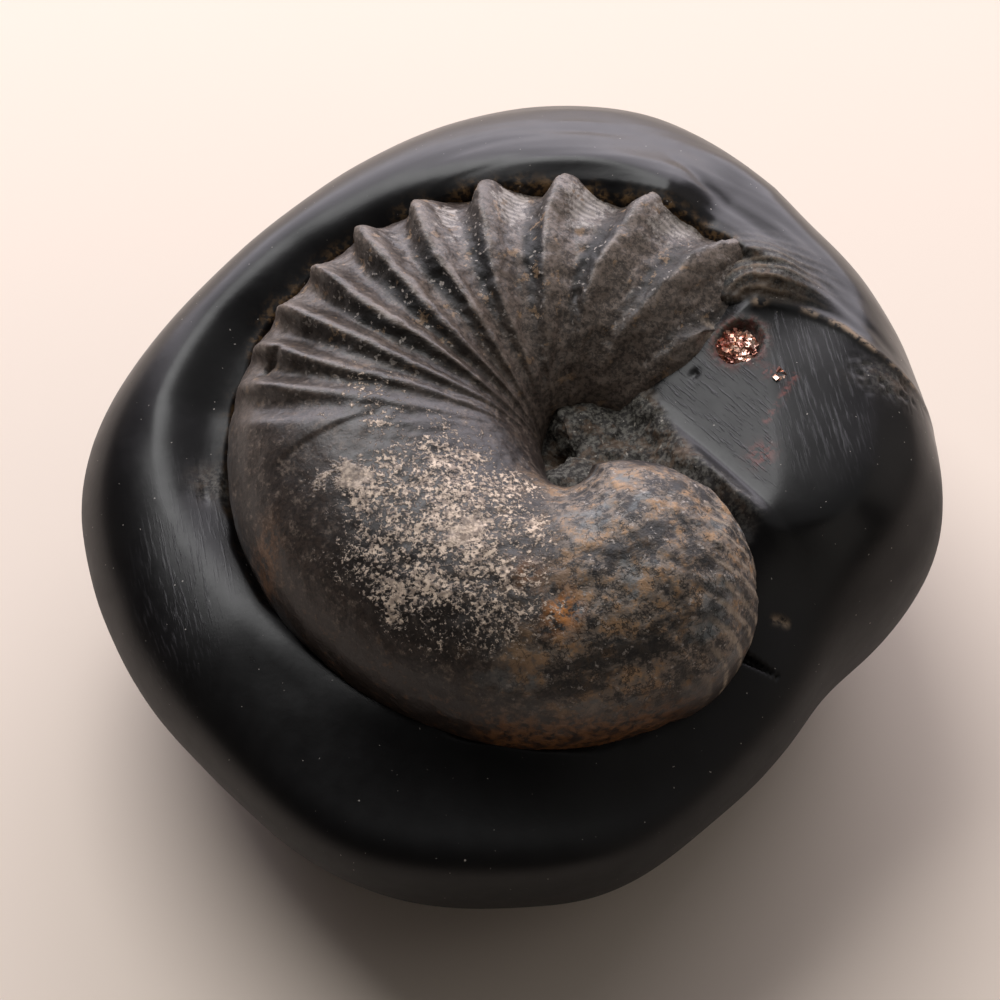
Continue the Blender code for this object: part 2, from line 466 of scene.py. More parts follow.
@dataclass(frozen=True)
class WornLimestone:
    """Black limestone, river-worn and polished by handling.

    It gives the eye a deep black with a low soft sheen, greyer where a file has drawn strokes over it,
    and granular in the rough ground round the fossil.
    """

    black: str = "#080708"
    worn_black: str = "#0d0c0c"
    stroke: str = "#48474a"
    ground: str = "#2f2c29"
    grit: str = "#6b6861"
    ground_rust: str = "#5e4b3a"
    pale_grit: str = "#a29b90"
    wall: str = "#2a1e14"
    wall_tan: str = "#8a6b46"
    shell: str = "#8f7b66"
    dust: str = "#b9b2aa"
    red: str = "#6a3730"
    specular: float = 0.3
    smoothest: float = 0.24
    file_turns: tuple = (-50.0, -78.0)
    relief_depth: float = 0.035

    def strokes(self, made: Recipe) -> Socket:
        """The file's strokes, a quarter of a millimetre wide, along each flat's own direction.

        Args:
            made: the material in the making.

        Returns:
            How strong a stroke is, from 0 to 1.
        """
        left_turn, right_turn = self.file_turns
        left = made.ramp(made.noise(0.22, 3, 0.6, made.stretched(left_turn, 18)), 0.5, 0.75)
        right = made.ramp(made.noise(0.26, 3, 0.6, made.stretched(right_turn, 22)), 0.5, 0.75)
        return made.plus(made.times(made.mark("filed"), left), made.times(made.mark("streaked"), right))

    def rough_ground(self, made: Recipe, colour: Socket, ground: Socket) -> Socket:
        """The granular ground in the coil's middle: grey grit, brown stains and pale grains.

        Args:
            made: the material in the making.
            colour: the colour so far.
            ground: how rough the ground is, from 0 to 1.

        Returns:
            The colour with the rough ground.
        """
        grit = made.ramp(made.noise(0.4, 4, 0.7), 0.44, 0.6)
        stain = made.ramp(made.noise(4.5, 6, 0.75), 0.5, 0.6)
        pale = made.ramp(made.noise(0.5, 2, 0.5), 0.68, 0.73)
        return made.coats(colour, (made.times(ground, 0.85), self.ground),
                          (made.times(ground, grit, 0.8), self.grit),
                          (made.times(ground, stain, 0.65), self.ground_rust),
                          (made.times(ground, pale, 0.7), self.pale_grit))

    def material(self) -> bpy.types.Material:
        """Makes the material: black stone, its strokes, rough ground, stains and specks, then its relief.

        Returns:
            The material.
        """
        made = Recipe("river_worn_black_limestone")
        made.shader.inputs["Specular IOR Level"].default_value = self.specular
        broad = made.noise(14, 4, 0.55)
        grain = made.noise(0.5, 2, 0.55)
        fine = made.noise(1.6, 4, 0.55)
        strokes = self.strokes(made)
        ground, wall, layer = made.mark("rough_ground"), made.mark("brown_wall"), made.mark("shell_line")
        colour = made.blend(made.ramp(broad, 0.35, 0.75), linear(self.black), linear(self.worn_black))
        colour = made.coats(colour, (made.times(strokes, 0.7), self.stroke))
        colour = self.rough_ground(made, colour, ground)
        wall_tone = made.blend(made.ramp(grain, 0.4, 0.6), linear(self.wall), linear(self.wall_tan))
        colour = made.blend(made.times(wall, made.ramp(fine, 0.36, 0.6)), colour, wall_tone)
        broken = made.ramp(made.noise(0.7, 3, 0.6), 0.34, 0.56)
        specks = made.ramp(made.noise(0.3, 1, 0.4), 0.79, 0.81)
        colour = made.coats(colour, (made.times(layer, broken), self.shell),
                            (made.times(made.mark("red_stain"), made.ramp(grain, 0.4, 0.6)), self.red),
                            (made.times(specks, 0.6), self.dust))
        rough = made.plus(made.times(fine, 0.12), self.smoothest,
                          made.times(made.plus(made.mark("filed"), made.mark("streaked")), 0.08),
                          made.times(made.plus(ground, wall, layer), 0.4),
                          made.times(made.mark("flank"), 0.3))
        relief = made.plus(made.times(grain, 0.25), made.times(fine, 0.4), made.times(strokes, 1.3))
        return made.finish(colour, rough, relief, self.relief_depth)


@dataclass(frozen=True)
class FossilShell:
    """Weathered fossil limestone, rubbed smooth on its high sides.

    It gives the eye a matt brown-black with bronze high spots, a speckled beige crust where lime has
    dried on it, and an ochre front with cool grey patches, dark streaks and rusty stains. Light and shade
    are painted too: a lighter back, a darker low front with brown glints, and shade in the ribs' bands.
    """

    black: str = "#100e0d"
    dark: str = "#2a2421"
    dark_brown: str = "#352b25"
    # brown and light_brown: the back's colours, lighter than the front's as painted light.
    brown: str = "#4a3f38"
    light_brown: str = "#5f534a"
    inner_brown: str = "#7a6d63"
    bronze: str = "#7b6d61"
    grey: str = "#a39a92"
    tan: str = "#94795d"
    ochre_grey: str = "#74675b"
    ochre: str = "#98795a"
    rust: str = "#b47433"
    blue: str = "#6b7173"
    # The painted shade of the low front, and its painted glints.
    painted_shade_brown: str = "#1b1009"
    painted_glint: str = "#63401f"
    below_crust: str = "#1b1715"
    crust_shade: str = "#8d7d6f"
    crust: str = "#d2bda8"
    shell_line: str = "#8a7c6c"
    relief_depth: float = 0.3

    def bare(self, made: Recipe, fine: Socket, grain: Socket) -> Socket:
        """The bare fossil: brown-black in front, browner and lighter at the back as painted light, with
        bronze rubbed spots.

        Args:
            made: the material in the making.
            fine: noise about a millimetre across.
            grain: noise under half a millimetre across.

        Returns:
            The colour.
        """
        broad = made.ramp(made.noise(9, 4, 0.6), 0.35, 0.65)
        front = made.blend(broad, linear(self.dark), linear(self.dark_brown))
        back = made.blend(broad, linear(self.brown), linear(self.light_brown))
        # Painted light: the back blends to lighter browns, as if lit from behind, and the front stays dark.
        return made.coats(made.blend(made.mark("back"), front, back),
                          (made.times(made.mark("inner_back"), 0.6), self.inner_brown),
                          (made.times(made.ramp(fine, 0.5, 0.68), 0.55), self.bronze),
                          (made.times(made.ramp(grain, 0.56, 0.42), 0.6), self.black))

    def rib_wear(self, made: Recipe, colour: Socket, fine: Socket, middle: Socket) -> Socket:
        """The ribs: bronze crests, grey dust in the hollows, a rough black band with pale grains, whose black
        is partly grit and partly painted shade on each rib's steep side.

        Args:
            made: the material in the making.
            colour: the colour so far.
            fine: noise about a millimetre across.
            middle: noise about three millimetres across.

        Returns:
            The colour with the ribs' wear.
        """
        crest, dust, band = made.mark("rib_crest"), made.mark("dust"), made.mark("rib_band")
        dusty = made.ramp(made.plus(fine, made.times(dust, 0.45)), 0.62, 0.8)
        pitted = made.ramp(made.plus(fine, made.times(band, 0.3)), 0.45, 0.6)
        pale = made.ramp(made.noise(0.5, 2, 0.5), 0.62, 0.68)
        stain = made.ramp(made.noise(1.7, 4, 0.7), 0.6, 0.66)
        # The band's black: partly rough grit, partly painted shade on each rib's steep side.
        return made.coats(colour, (made.times(crest, made.ramp(middle, 0.35, 0.65), 0.5), self.bronze),
                          (made.times(dusty, made.ramp(dust, 0.05, 0.3)), self.grey),
                          (made.times(band, pitted), self.black), (made.times(band, pale), self.grey),
                          (made.times(made.mark("back"), stain, 0.7), self.tan))

    def ochre_front(self, made: Recipe, colour: Socket, fine: Socket, middle: Socket) -> Socket:
        """The ochre front: mottles, cool patches, dark streaks and creases, and pale flecks.

        Args:
            made: the material in the making.
            colour: the colour so far.
            fine: noise about a millimetre across.
            middle: noise about three millimetres across.

        Returns:
            The colour with the ochre front and the creases that run over the back too.
        """
        ochre = made.mark("ochre")
        mix = made.plus(made.times(middle, 0.55), made.times(fine, 0.45))
        cool = made.ramp(made.noise(3.4, 5, 0.65, made.stretched(30, 1.5)), 0.54, 0.62)
        streaks = made.ramp(made.noise(2.8, 5, 0.7, made.stretched(20, 3)), 0.5, 0.38)
        mottle = made.blend(made.ramp(mix, 0.42, 0.5), linear(self.dark), linear(self.ochre_grey))
        mottle = made.coats(mottle, (made.ramp(mix, 0.5, 0.58), self.ochre),
                            (made.times(cool, 0.6), self.blue), (made.times(streaks, 0.85), self.black))
        colour = made.blend(made.times(ochre, made.ramp(made.plus(fine, ochre), 0.5, 0.9)), colour, mottle)
        creases = made.ramp(made.maths("ABSOLUTE", made.plus(made.noise(2.4, 5, 0.7), -0.5)), 0.03, 0.005)
        creased = made.plus(ochre, made.times(made.mark("back"), 0.6))
        flecks = made.ramp(made.noise(0.6, 3, 0.7), 0.6, 0.68)
        return made.coats(colour, (made.times(creased, creases, 0.8), self.black),
                          (made.times(ochre, flecks, 0.7), self.grey))

    def stains(self, made: Recipe, colour: Socket, fine: Socket) -> Socket:
        """Growth lines, the painted shade of the low front with its painted brown glints, and the rusty
        spots.

        Args:
            made: the material in the making.
            colour: the colour so far.
            fine: noise about a millimetre across.

        Returns:
            The colour with its stains.
        """
        low_front_painted_shade = made.mark("low_front_painted_shade")
        # Painted shade darkens the low front, and painted glints of light fleck it.
        return made.coats(colour, (made.times(made.mark("growth"), 0.65), self.black),
                          (made.times(low_front_painted_shade, 0.8), self.painted_shade_brown),
                          (made.times(low_front_painted_shade, made.ramp(fine, 0.56, 0.68), 0.55), self.painted_glint),
                          (made.times(made.mark("rust"), made.ramp(fine, 0.4, 0.55)), self.rust))

    def crusted(self, made: Recipe, fine: Socket) -> Socket:
        """How much of the surface the lime crust covers: grains in clusters, and a few solid patches.

        Args:
            made: the material in the making.
            fine: noise about a millimetre across.

        Returns:
            The cover, from 0 to 1.
        """
        crust = made.mark("crust")
        clusters, grains = made.noise(2.6, 6, 0.75), made.noise(0.32, 3, 0.65)
        speckle = made.plus(made.times(clusters, 0.45), made.times(grains, 0.55), made.times(crust, 0.15))
        speckled = made.times(made.ramp(speckle, 0.61, 0.69), made.ramp(crust, 0.05, 0.2))
        solid = made.ramp(made.plus(fine, made.mark("solid_crust")), 0.85, 1.0)
        return made.maths("MAXIMUM", speckled, made.times(solid, 0.7))

    def material(self) -> bpy.types.Material:
        """Makes the material: the bare fossil, its wear, stains and crust, then its relief.

        Returns:
            The material.
        """
        made = Recipe("weathered_fossil_limestone")
        middle, fine, grain = made.noise(3.0, 5, 0.65), made.noise(0.9, 4, 0.7), made.noise(0.38, 3, 0.65)
        colour = self.bare(made, fine, grain)
        colour = self.rib_wear(made, colour, fine, middle)
        colour = self.ochre_front(made, colour, fine, middle)
        colour = self.stains(made, colour, fine)
        below = made.times(made.ramp(made.mark("crust"), 0.1, 0.7), 0.7)
        colour = made.coats(colour, (below, self.below_crust))
        crusted = self.crusted(made, fine)
        crust_tone = made.blend(made.ramp(made.noise(0.6, 3, 0.6), 0.4, 0.6),
                                linear(self.crust_shade), linear(self.crust))
        colour = made.blend(crusted, colour, crust_tone)
        layer = made.times(made.mark("shell_line"), made.ramp(fine, 0.35, 0.55))
        colour = made.coats(colour, (layer, self.shell_line))

        band, back, ochre = made.mark("rib_band"), made.mark("back"), made.mark("ochre")
        rough = made.plus(made.times(fine, 0.25), 0.3, made.times(made.plus(crusted, band, ochre), 0.22))
        coarse = made.plus(made.times(band, 0.6), made.times(back, 0.4), made.times(ochre, 1.2))
        relief = made.plus(made.times(fine, made.plus(0.3, made.times(coarse, 0.5))),
                           made.times(crusted, 0.35),
                           made.times(grain, made.plus(0.1, made.times(coarse, 0.25))))
        return made.finish(colour, rough, relief, self.relief_depth)


@dataclass(frozen=True)
class PyriteGrain:
    """Pyrite, a natural iron sulphide crystal: a metal, tarnished to copper and rose gold.

    It gives the eye small bright glints that change with the way each face looks.
    """

    copper: str = "#e6c3b0"
    rose: str = "#a87466"
    smoothest: float = 0.2
    relief_depth: float = 0.01

    def material(self) -> bpy.types.Material:
        """Makes the material.

        Returns:
            The material.
        """
        made = Recipe("tarnished_pyrite_crystal")
        made.shader.inputs["Metallic"].default_value = 1.0
        tarnish = made.noise(0.8, 2, 0.55)
        colour = made.blend(made.ramp(tarnish, 0.4, 0.6), linear(self.copper), linear(self.rose))
        rough = made.plus(made.times(tarnish, 0.2), self.smoothest)
        return made.finish(colour, rough, made.noise(0.3, 1, 0.55), self.relief_depth)


# The fossil

@dataclass(frozen=True)
class Ribs:
    """The fossil's ribs: blunt crests, steeper on their forward side, that end in tubercles.

    Places round the section are in degrees, from 0 at the coil's outside through 90 on its top.
    """

    tubercles: tuple = (8, 29, 50, 72, 92.6, 110, 124.5, 137, 148.6, 159, 168, 176, 184)
    lean: float = 26.0
    wobble: float = 0.05
    height: float = 1.9
    place: float = 75.0
    spread: float = 52.0
    tubercle_height: float = 3.1
    tubercle_place: float = 42.0
    tubercle_spread: float = 18.0
    steep_side: float = 0.19
    gentle_side: float = 0.3
    whole_to: float = 150.0
    gone_by: float = 200.0
    first_ribs: tuple = (50.0, 90.0, 0.75)
    band_from: tuple = (0.01, 0.07)
    band_to: tuple = (0.48, 0.16)
    band_place: tuple = (78.0, 40.0)
    hollow: tuple = (0.62, 0.22)
    growth_spacing: float = 3.1
    growth_place: tuple = (50.0, 18.0)
    dust_place: tuple = (48.0, 17.0)
    dust_to: tuple = (150.0, 50.0)

    def number(self, bearing: np.ndarray) -> np.ndarray:
        """Which rib stands at a bearing in radians: whole on each rib's crest, and halfway between two."""
        return np.interp(np.degrees(bearing), self.tubercles, np.arange(len(self.tubercles)))

    def strength(self, degrees: np.ndarray) -> np.ndarray:
        """How strong the ribs are along the coil: a little weaker at first, and fading out in front.

        Args:
            degrees: the bearing.

        Returns:
            The strength, from 0 to 1.
        """
        low_from, low_to, low = self.first_ribs
        grown = low + (1 - low) * rise(degrees, low_from, low_to - low_from)
        return grown * fall(degrees, self.gone_by, self.gone_by - self.whole_to)

    def relief(self, bearing: np.ndarray, turn: np.ndarray) -> dict[str, np.ndarray]:
        """The ribs' lift: two bells back to back along the coil, times two bells round the section.

        Args:
            bearing: where along the coil, in radians.
            turn: where round the section, in radians.

        Returns:
            The lift in millimetres, and the marks that follow the ribs.
        """
        degrees, place = np.degrees(bearing), np.degrees(turn)
        shoulder = math.radians(self.tubercle_place)
        inward = np.clip((turn - shoulder) / (math.pi - shoulder), -0.3, 1)
        number = self.number(bearing - math.radians(self.lean) * inward)
        number = number + self.wobble * np.sin(5 * turn + 3 * np.floor(number + 0.5)) * rise(inward, 0, 1 / 3)
        past = number - np.floor(number)
        crest = hump(past, self.steep_side) + hump(1 - past, self.gentle_side)
        strength = self.strength(degrees)
        flank = hump(place - self.place, self.spread)
        tubercle = hump(place - self.tubercle_place, self.tubercle_spread)
        lift = self.height * flank * (crest - 0.55) + self.tubercle_height * tubercle * (crest - 0.25)
        # The band follows each rib's steep side, where its dark coat is partly painted shade.
        band = rise(past, *self.band_from) * fall(past, *self.band_to)
        hollow = strength * hump(past - self.hollow[0], self.hollow[1])
        growth = rise(np.sin(2 * math.pi * place / self.growth_spacing), 0.3, 0.5)
        dust = hollow * fall(degrees, *self.dust_to)
        return {"lift": strength * lift, "rib_crest": strength * crest * flank,
                "rib_band": strength * band * hump(place - self.band_place[0], self.band_place[1]),
                "growth": growth * hollow * hump(place - self.growth_place[0], self.growth_place[1]),
                "dust": dust * hump(place - self.dust_place[0], self.dust_place[1])}


@dataclass(frozen=True)
class FossilWear:
    """The fossil's weathering: its crust, ochre front, rust, shell layers, lumps and small scars, and the
    marks that paint light on its back and shade on its low front.
    """

    crust_middle: tuple = (-17.0, -19.0)
    crust_way: tuple = (0.6, -0.8)
    crust_half_size: tuple = (24.0, 16.0)
    crust_from_height: tuple = (52.0, 6.0)
    solid_crust: tuple = ((Spot(-31.0, -12.5, 5.85, 4.5), 0.8, 0.6), (Spot(-14.5, -22.0, 7.0, 5.0), 0.2, 0.9))
    rust_spots: tuple = ((Spot(-2.6, -34.0, 2.2, 2.2), 1.0), (Spot(-7.0, -29.0, 1.8, 1.8), 0.7))
    left_rust: Spot = Spot(-42.0, -20.0, 2.0, 4.0)
    tip: tuple = (17.0, -18.0)
    tip_stretch: float = 1.6
    dome: tuple = (21.0, 27.0)
    slit: tuple = ((-43.6, 6.8), (-40.8, 8.8))
    slit_depth: float = 1.2
    step: tuple = ((-42, -10), (-38, -8), (-31, -5), (-25, -2.5))
    step_height: float = 0.3
    round_scar: tuple = (0.3, 18.6)
    round_scar_height: float = 0.25
    beside_socket: Spot = Spot(22.0, 13.5, 5.0, 5.0)
    beside_socket_depth: float = 1.6

    def crust_and_ochre(self, at: Places, wander: np.ndarray, marks: dict[str, np.ndarray]) -> None:
        """Marks the speckled crust, an oval on the fossil's top, and the ochre front beside it.

        Args:
            at: the fossil's places.
            wander: broad noise that makes the edges wander.
            marks: the marks so far; crust, solid_crust and ochre are added.
        """
        from_x, from_y = at.x - self.crust_middle[0], at.y - self.crust_middle[1]
        way_x, way_y = self.crust_way
        along, aside = from_x * way_x + from_y * way_y, from_y * way_x - from_x * way_y
        oval = np.hypot(along / self.crust_half_size[0], (aside + 2) / self.crust_half_size[1])
        marks["crust"] = fall(oval - 0.4 * wander, 1.25, 0.9) * rise(at.z, *self.crust_from_height)
        marks["solid_crust"] = sum(spot.on(at) * (even + uneven * wander)
                                   for spot, even, uneven in self.solid_crust)
        ochre = rise(at.x - 0.2 * aside + 5 * wander, -18, 16) * fall(at.y - 4 * wander, -6, 8)
        # Thinner towards the bottom, which leaves the lower front darker: painted shade, with the low front's
        # mark.
        marks["ochre"] = ochre * (0.12 + 0.88 * rise(at.z + 6 * wander, 45, 10))

    def zones(self, at: Places, wander: np.ndarray, marks: dict[str, np.ndarray]) -> None:
        """Marks the rust, the painted light of the back, the painted shade of the low front, the growth rings
        of the tip and the shell layers.

        Args:
            at: the fossil's places.
            wander: broad noise that makes the edges wander.
            marks: the marks so far; these are added, and growth grows by the tip's rings.
        """
        rust = sum(spot.on(at) * strength for spot, strength in self.rust_spots)
        rust = rust + 0.14 * self.left_rust.on(at) * rise(at.z, 44, 2)
        low_edge = fall(at.y, -38, 5) * rise(at.x, -16, 6) * fall(at.z, 52, 4)
        marks["rust"] = np.clip(1.3 * rust + 0.2 * low_edge, 0, 1)
        # back: lighter towards the back, painted light; it also carries the back's tan stains, creases and
        # coarser relief.
        marks["back"] = rise(at.y, -8, 26)
        marks["inner_back"] = rise(at.x, -14, 14) * rise(at.y + 4.8 * wander, -4, 12)
        # Painted shade: the low front is darkened where little light reaches it.
        marks["low_front_painted_shade"] = fall(at.z - 5 * wander, 55, 8) * fall(at.y, -16, 10)
        tip = np.hypot(at.x - self.tip[0], (at.y - self.tip[1]) / self.tip_stretch)
        rings = 0.8 * rise(np.sin((tip + 0.5 * wander) * 3.4), 0.2, 0.6)
        marks["growth"] = marks["growth"] + rings * rise(at.x, 8, 6) * fall(at.y, -6, 4) * rise(at.z, 46, 6)
        dome = np.hypot(at.x - self.dome[0], (at.y - self.dome[1]) * 0.9)
        layers = rise(np.sin(dome * 2.9 + 1.5 * wander), 0.35, 0.5)
        marks["shell_line"] = layers * rise(dome, 7, 2) * rise(at.x, 16, 4) * fall(at.y, 24, 3)

    def scars(self, at: Places, wander: np.ndarray) -> np.ndarray:
        """The slit, the low step, the round scar and the rubbed place beside the pyrite's socket.

        Args:
            at: the fossil's places.
            wander: broad noise that makes the step's edge wander.

        Returns:
            The lift along the normal, in millimetres.
        """
        slit = self.slit_depth * at.line(self.slit, 0.5, 0.2)
        gap, passed = at.beside(self.step)
        step = self.step_height * faded(passed, 0.3) * rise(gap + 0.6 * wander, -0.35, 0.7) * fall(gap, 7, 6)
        away = at.away(*self.round_scar)
        round_scar = self.round_scar_height * (hump(away - 1.1, 0.4) - hump(away, 0.8))
        return step + round_scar - slit - self.beside_socket_depth * self.beside_socket.on(at)

    def lift(self, points: np.ndarray, marks: dict[str, np.ndarray]) -> np.ndarray:
        """All the weathering: lumps, roughness and scars.

        Args:
            points: the whorl's points.
            marks: the marks so far; those that go with the weathering are added.

        Returns:
            The lift along the normal, in millimetres.
        """
        at = Places(points)
        wander = layered_noise(points, 9, 3, 41)
        self.crust_and_ochre(at, wander, marks)
        self.zones(at, wander, marks)
        ochre, back = marks["ochre"], marks["back"]
        lumps = layered_noise(points, 6, 3, 11) * (0.2 + 0.5 * ochre + 0.25 * back)
        coarseness = 0.08 + 0.2 * marks["crust"] + 0.24 * ochre + 0.25 * marks["rib_band"] + 0.2 * back
        return lumps + layered_noise(points, 1.4, 3, 23) * coarseness + self.scars(at, wander)


@dataclass(frozen=True)
class Whorl:
    """The fossil: one inflated whorl, swept round its coil, ribbed at the back and plain in front."""

    bearing: tuple = (10, 50, 90, 135, 180, 225, 270, 287)
    radius: tuple = (26, 26.5, 25.5, 26, 26.5, 26, 26, 24.5)
    half_width: tuple = (17, 18, 18.2, 20.5, 22, 20.5, 18.2, 18.4)
    height: tuple = (31, 41.5, 45, 45, 45, 45, 46, 48)
    half_height: tuple = (14, 16, 16, 17, 18, 18, 18, 17.5)
    tilt: tuple = (12, 14, 14, 10, 4, 0, 0, 0)
    end_length: float = 17.0
    end_rings: int = 60
    shown_from: float = 30.0
    ribbed_to: float = 200.0
    plain_rings: int = 92
    seen: tuple = (-75.0, 235.0)
    seen_points: int = 200
    buried_points: int = 18
    ribs: Ribs = Ribs()
    wear: FossilWear = FossilWear()

    def turns(self) -> np.ndarray:
        """Places round the section, close together on the side that shows.

        Returns:
            The places, in radians, clockwise round the section.
        """
        start, end = self.seen
        seen = np.linspace(start, end, self.seen_points, endpoint=False)
        buried = np.linspace(end, start + 360, self.buried_points, endpoint=False)
        return np.radians(np.concatenate([seen, buried]))[::-1]

    def steps(self) -> np.ndarray:
        """Bearings of the sections, from the buried end to the body chamber's end.

        Returns:
            The bearings, in degrees.
        """
        buried = np.arange(self.bearing[0], self.shown_from, 1.5)
        ribbed = np.arange(self.shown_from, self.ribbed_to, 0.6)
        plain = np.linspace(self.ribbed_to, self.bearing[-1], self.plain_rings)
        return np.concatenate([buried, ribbed, plain])

    def surface(self) -> tuple[np.ndarray, dict[str, np.ndarray]]:
        """The whorl: a tilted oval at each bearing, lifted by its ribs, with a round end.

        Returns:
            The points, and the marks that follow the ribs.
        """
        steps = self.steps()
        weights = spline_weights(self.bearing, steps)
        radius, half_width, height, half_height, tilt = (
            (weights @ np.array(values, float))[:, None]
            for values in (self.radius, self.half_width, self.height, self.half_height, self.tilt))
        bearing = np.radians(steps)[:, None]
        tilt = np.radians(tilt)
        turn = self.turns()[None, :]
        relief = self.ribs.relief(bearing, turn)
        lift = relief.pop("lift")
        out = (half_width + lift) * np.cos(turn)
        up = (half_height + lift) * np.sin(turn)
        across = radius + out * np.cos(tilt) - up * np.sin(tilt)
        above = height + out * np.sin(tilt) + up * np.cos(tilt)
        body = np.stack([across * np.cos(bearing), across * np.sin(bearing), above], axis=-1)
        end = self.round_end(body[-1], bearing[-1, 0])
        marks = {name: np.concatenate([values, np.repeat(values[-1:], len(end), axis=0)])
                 for name, values in relief.items()}
        return np.concatenate([body, end]), marks

    def round_end(self, last: np.ndarray, bearing: float) -> np.ndarray:
        """The body chamber's round end: the last section drawn in along a quarter of an oval.

        Args:
            last: the last section's points.
            bearing: its bearing, in radians.

        Returns:
            Rings of points from the last section to near the end's tip.
        """
        middle = last.mean(axis=0)
        ahead = np.array([-math.sin(bearing), math.cos(bearing), 0.0])
        swing = np.linspace(0, math.pi / 2, self.end_rings + 2)[1:-1, None, None]
        return middle + (last - middle) * np.cos(swing) + ahead * self.end_length * np.sin(swing)

    def build(self) -> bpy.types.Object:
        """Makes the piece and dresses it.

        Returns:
            The piece.
        """
        points, marks = self.surface()
        points = points + surface_normals(points) * self.wear.lift(points, marks)[..., None]
        return settle(grid_mesh("ammonite", points, marks), FossilShell().material())


# The matrix

@dataclass(frozen=True)
class FiledBlock:
    """The block at the right: two filed flats that meet in a soft ridge, and the step beside the left one."""

    corner: tuple = (9.9, 7.8)
    inward: tuple = (0.77, 0.635)
    left_height: float = 50.2
    left_rise: tuple = (0.30, 0.09)
    right_height: float = 55.2
    right_from: float = 27.0
    right_rise: float = -0.02
    right_bow: float = 0.0035
    right_bow_from: float = 10.0
    softness: tuple = (0.7, 0.25)
    bearing_reach: tuple = (70.0, 12.0)
    swell: Spot = Spot(36.0, -13.0, 10.0, 9.0)
    swell_height: float = 2.0
    step_line: tuple = ((9.0, 8.5), (15.7, -3.5), (22.9, -11.2), (26, -14))
    step_depth: float = 1.3
    step_width: float = 3.5

    def into(self, at: Places) -> np.ndarray:
        """How far places are into the block from the left flat's lowest corner."""
        return (at.x - self.corner[0]) * self.inward[0] + (at.y - self.corner[1]) * self.inward[1]

    def filed(self, at: Places, height: np.ndarray) -> np.ndarray:
        """Files the block down: the lower of the stone, the right flat and the left flat.

        Args:
            at: the matrix's places.
            height: the stone's heights before the file.

        Returns:
            The heights after it.
        """
        left = self.left_height + (at.x - self.corner[0]) * self.left_rise[0] \
            + (at.y - self.corner[1]) * self.left_rise[1]
        right = self.right_height + self.right_rise * (at.x - self.right_from) \
            - self.right_bow * np.maximum(self.right_bow_from - at.y, 0) ** 2
        either_way = np.abs((at.bearing + 180) % 360 - 180)
        on_block = rise(self.into(at), -3, 3) * fall(either_way, *self.bearing_reach)
        flat = lower_of(lower_of(height, right, self.softness[0]), left, self.softness[1])
        return height + on_block * (flat - height)

    def step(self, at: Places, ragged: np.ndarray) -> tuple[np.ndarray, np.ndarray]:
        """The step down from the left flat to the rough ground.

        Args:
            at: the matrix's places.
            ragged: noise that makes the rough ground's edge ragged.

        Returns:
            How far down the step a place is, from 0 to 1, and how much of the rough ground it has.
        """
        gap = at.beside(self.step_line)[0]
        reach = rise(at.x * self.inward[0] + at.y * self.inward[1], -4, 4) \
            * fall(at.radius, 30, 4) * rise(at.radius, 5, 5)
        rough = fall(gap, 1.5 + 0.8 * ragged, 1.4) * (1 - 0.75 * rise(at.x, 14, 8))
        return fall(gap, 0, self.step_width) * reach, rough * reach


@dataclass(frozen=True)
class BlockCrest:
    """The block's crest: a thin ridge of shell, the slope behind it, and the mound of shell layers."""

    line: tuple = ((24.5, 19.5), (28, 18.8), (33, 18), (37.7, 15.6), (42, 12.4), (48.3, 9.5), (52, 7.5))
    ridge: tuple = (0.35, 0.8)
    sunk: float = 0.3
    slope: float = 1.2
    slope_width: float = 8.0
    mound: Spot = Spot(26.5, 23.5, 6.5, 4.5)
    mound_height: float = 2.2
    leaning: float = 1.8
    leaning_bearings: tuple = ((15.0, 20.0), (140.0, 25.0))

    def lift(self, at: Places, behind: np.ndarray, start: np.ndarray) -> np.ndarray:
        """The crest's forms added up.

        Args:
            at: the matrix's places.
            behind: how far places are behind the crest's line, with its edge made to wander.
            start: 1 past the line's first end, where it comes in.

        Returns:
            The lift in millimetres, straight up.
        """
        ridge_height, ridge_width = self.ridge
        first, last = self.leaning_bearings
        sunk = self.sunk * rise(behind, 0, 3.5) * fall(behind, 11, 6)
        slope = self.slope * rise(behind, 0, self.slope_width) * rise(at.x, 28, 8)
        leaning = rise(at.bearing, *first) * fall(at.bearing, *last) * rise(behind, 0, 4) \
            * fall(at.radius, 49, 13)
        return (ridge_height * hump(behind, ridge_width) - sunk - slope) * start \
            + self.mound_height * self.mound.on(at) + self.leaning * leaning


